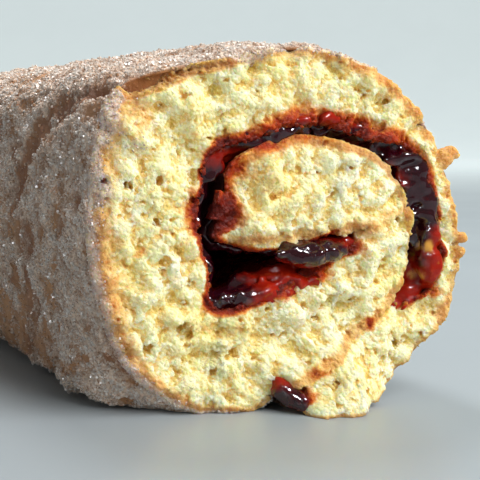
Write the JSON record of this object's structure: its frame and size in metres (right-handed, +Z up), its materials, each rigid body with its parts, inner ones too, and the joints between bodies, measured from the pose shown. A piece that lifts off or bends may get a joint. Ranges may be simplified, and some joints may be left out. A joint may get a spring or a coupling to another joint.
{
  "type": "swiss roll",
  "caption": "Sugared swiss roll cake with a jam filling, cut at both ends so that the rolled sheet shows as a spiral.",
  "frame": {"origin": "middle of the flat foot that the roll lies on, at the centre of its length", "axes": "+Y along the roll, from the front cut to the back cut, +Z up, +X to the right seen from the front cut"},
  "size_m": [0.064, 0.1728, 0.0585],
  "materials": {
    "sponge": "soft porous crumb with a sugared golden skin",
    "jam": "wet and glossy"
  },
  "bodies": {
    "root": {"sponge": "sponge", "jam": "jam"}
  },
  "joints": []
}
